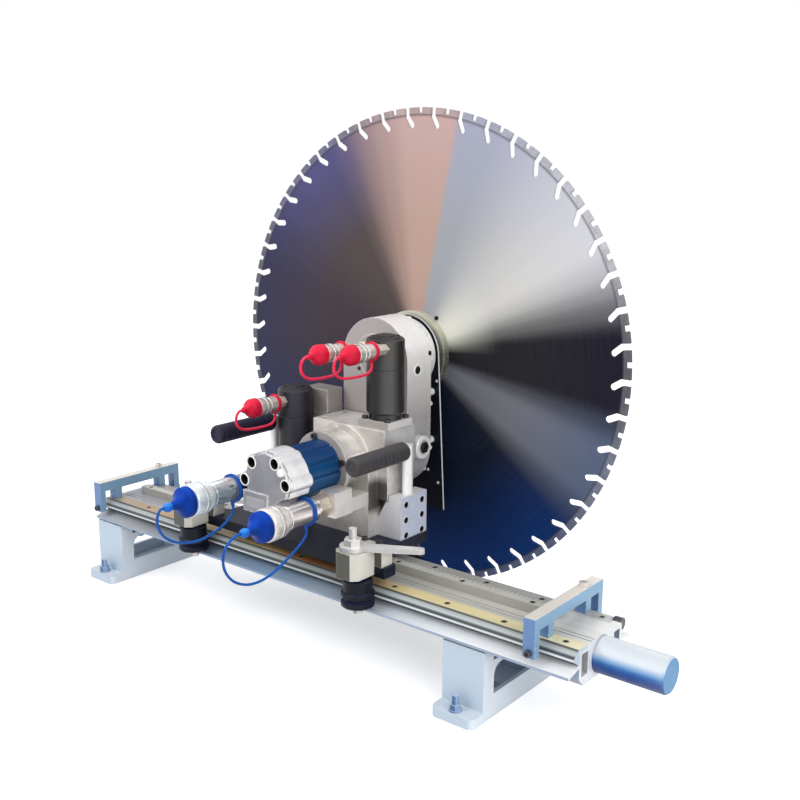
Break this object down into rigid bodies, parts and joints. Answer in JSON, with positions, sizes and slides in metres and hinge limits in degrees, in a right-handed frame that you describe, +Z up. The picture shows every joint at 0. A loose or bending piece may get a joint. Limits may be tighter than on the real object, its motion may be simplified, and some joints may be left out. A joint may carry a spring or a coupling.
{
  "type": "rail-mounted hydraulic wall saw",
  "caption": "Hydraulic wall saw: a rack-driven carriage on a footed rail carries a worm-turned gear arm with a large segmented blade, hydraulic motors and capped couplers.",
  "frame": {"origin": "on the floor, at the centre of the line between the anchor slots of the two feet", "axes": "+X along the rail towards the joining tube, +Y from the motor side to the blade, +Z up from the floor"},
  "size_m": [1.101, 0.5252, 0.842],
  "materials": {
    "rail_aluminium": "satin extrusion",
    "strip_gold": "pale gold, worn",
    "rack_steel": "machined",
    "dark_screws": "oiled",
    "tube_steel": "turned",
    "foot_grey": "light blue-grey paint",
    "bolt_steel": "zinc plated",
    "stop_grey": "light grey",
    "plate_dark": "dark satin",
    "block_olive": "beige-olive satin",
    "casting": "cast and blasted",
    "motor_black": "satin black",
    "motor_blue": "deep blue gloss",
    "cap_aluminium": "cast and machined",
    "port_steel": "machined",
    "post_steel": "turned",
    "grip_rubber": "ribbed black rubber",
    "bearing_steel": "ground",
    "coupler_zinc": "bright zinc",
    "gear_steel": "hardened steel",
    "roller_black": "blackened steel",
    "lever_steel": "bright steel",
    "arm_aluminium": "blasted, satin",
    "wheel_bronze": "bronze",
    "guard_dark": "dark satin with a bare edge",
    "blade_steel": "circularly brushed",
    "segment_grey": "sintered",
    "flange_steel": "turned",
    "cap_blue": "blue moulded plastic",
    "cap_red": "red moulded plastic"
  },
  "bodies": {
    "rail": {"rail_beam": "rail_aluminium", "wear_strips": "strip_gold", "gear_rack": "rack_steel", "rail_screws": "dark_screws", "joining_tube": "tube_steel", "left_foot": "foot_grey", "right_foot": "foot_grey", "foot_bolts": "bolt_steel", "end_stops": "stop_grey"},
    "carriage": {"carriage_base": "plate_dark", "roller_blocks": "block_olive", "gearbox_housing": "casting", "mounting_ring": "casting", "carriage_screws": "dark_screws", "side_bracket": "casting", "swing_motor": "motor_black", "feed_motor": "motor_black", "motor_flanges": "casting", "main_motor": "motor_blue", "motor_end_cap": "cap_aluminium", "port_blocks": "port_steel", "handle_posts": "post_steel", "right_grip": "grip_rubber", "left_grip": "grip_rubber", "hub_bearings": "bearing_steel", "main_couplers": "coupler_zinc", "small_couplers": "coupler_zinc"},
    "feed_pinion": {"feed_pinion": "gear_steel"},
    "left_lever": {"left_lock_lever": "lever_steel"},
    "right_lever": {"right_lock_lever": "lever_steel"},
    "front_left_roller": {"front_left_roller": "roller_black"},
    "front_right_roller": {"front_right_roller": "roller_black"},
    "rear_left_roller": {"rear_left_roller": "roller_black"},
    "rear_right_roller": {"rear_right_roller": "roller_black"},
    "swing_worm": {"swing_worm": "gear_steel"},
    "arm": {"arm_housing": "arm_aluminium", "arm_cover": "arm_aluminium", "arm_screws": "dark_screws", "worm_wheel": "wheel_bronze", "guard_plate": "guard_dark", "idler_pin": "gear_steel", "spindle_bearings": "bearing_steel"},
    "drive": {"drive_gear": "gear_steel"},
    "idler": {"idler_gear": "gear_steel"},
    "blade": {"spindle": "gear_steel", "blade_core": "blade_steel", "blade_segments": "segment_grey", "inner_flange": "flange_steel", "outer_flange": "flange_steel", "flange_screws": "dark_screws"},
    "right_main_cap": {"right_main_cap": "cap_blue", "right_main_lanyard": "cap_blue"},
    "left_main_cap": {"left_main_cap": "cap_blue", "left_main_lanyard": "cap_blue"},
    "front_swing_cap": {"front_swing_cap": "cap_red", "front_swing_lanyard": "cap_red"},
    "rear_swing_cap": {"rear_swing_cap": "cap_red", "rear_swing_lanyard": "cap_red"},
    "feed_cap": {"feed_cap": "cap_red", "feed_lanyard": "cap_red"}
  },
  "joints": [
    {"name": "carriage_slide", "type": "slide", "parent": "rail", "child": "carriage", "axis": [1, 0, 0], "range_m": [-0.225, 0.245]},
    {"name": "feed_pinion_turn", "type": "hinge", "parent": "carriage", "child": "feed_pinion", "pos_m": [-0.027, 0.032, 0.2], "axis": [0, 0, 1], "range_deg": [-720, 720]},
    {"name": "left_lever_turn", "type": "hinge", "parent": "carriage", "child": "left_lever", "pos_m": [-0.154, -0.0958, 0.18], "axis": [0, 0, 1], "range_deg": [-90, 0]},
    {"name": "right_lever_turn", "type": "hinge", "parent": "carriage", "child": "right_lever", "pos_m": [0.211, -0.0958, 0.18], "axis": [0, 0, 1], "range_deg": [-90, 0]},
    {"name": "front_left_roller_turn", "type": "hinge", "parent": "left_lever", "child": "front_left_roller", "pos_m": [-0.145, -0.0958, 0.131], "axis": [0, 0, 1], "range_deg": [-730, 730]},
    {"name": "front_right_roller_turn", "type": "hinge", "parent": "right_lever", "child": "front_right_roller", "pos_m": [0.22, -0.0958, 0.131], "axis": [0, 0, 1], "range_deg": [-730, 730]},
    {"name": "rear_left_roller_turn", "type": "hinge", "parent": "carriage", "child": "rear_left_roller", "pos_m": [-0.11, 0.0858, 0.131], "axis": [0, 0, 1], "range_deg": [-1490, 1490]},
    {"name": "rear_right_roller_turn", "type": "hinge", "parent": "carriage", "child": "rear_right_roller", "pos_m": [0.185, 0.0858, 0.131], "axis": [0, 0, 1], "range_deg": [-1490, 1490]},
    {"name": "arm_swing", "type": "hinge", "parent": "carriage", "child": "arm", "pos_m": [0.085, 0.06, 0.292], "axis": [0, 1, 0], "range_deg": [-171, 171]},
    {"name": "swing_worm_turn", "type": "hinge", "parent": "carriage", "child": "swing_worm", "pos_m": [0.145, 0.057, 0.292], "axis": [0, 0, 1], "range_deg": [-6840, 6840]},
    {"name": "blade_spin", "type": "hinge", "parent": "arm", "child": "blade", "pos_m": [0.085, 0.15, 0.442], "axis": [0, 1, 0], "continuous": true},
    {"name": "idler_turn", "type": "hinge", "parent": "arm", "child": "idler", "pos_m": [0.085, 0.134, 0.367], "axis": [0, 1, 0], "continuous": true},
    {"name": "drive_turn", "type": "hinge", "parent": "arm", "child": "drive", "pos_m": [0.085, 0.05, 0.292], "axis": [0, 1, 0], "continuous": true},
    {"name": "right_main_cap_pull", "type": "slide", "parent": "carriage", "child": "right_main_cap", "axis": [0, -1, 0], "range_m": [0, 0.014]},
    {"name": "left_main_cap_pull", "type": "slide", "parent": "carriage", "child": "left_main_cap", "axis": [0, -1, 0], "range_m": [0, 0.014]},
    {"name": "front_swing_cap_pull", "type": "slide", "parent": "carriage", "child": "front_swing_cap", "axis": [0, -1, 0], "range_m": [0, 0.01]},
    {"name": "rear_swing_cap_pull", "type": "slide", "parent": "carriage", "child": "rear_swing_cap", "axis": [0, -1, 0], "range_m": [0, 0.01]},
    {"name": "feed_cap_pull", "type": "slide", "parent": "carriage", "child": "feed_cap", "axis": [0, -1, 0], "range_m": [0, 0.01]}
  ],
  "couplings": [
    {"joint": "feed_pinion_turn", "follows": "carriage_slide", "rad_per_m": -50},
    {"joint": "front_left_roller_turn", "follows": "carriage_slide", "rad_per_m": 51.282},
    {"joint": "front_right_roller_turn", "follows": "carriage_slide", "rad_per_m": 51.282},
    {"joint": "rear_left_roller_turn", "follows": "carriage_slide", "rad_per_m": -105.26},
    {"joint": "rear_right_roller_turn", "follows": "carriage_slide", "rad_per_m": -105.26},
    {"joint": "swing_worm_turn", "follows": "arm_swing", "ratio": 40},
    {"joint": "idler_turn", "follows": "blade_spin", "ratio": -0.92308},
    {"joint": "drive_turn", "follows": "blade_spin", "ratio": 1}
  ]
}
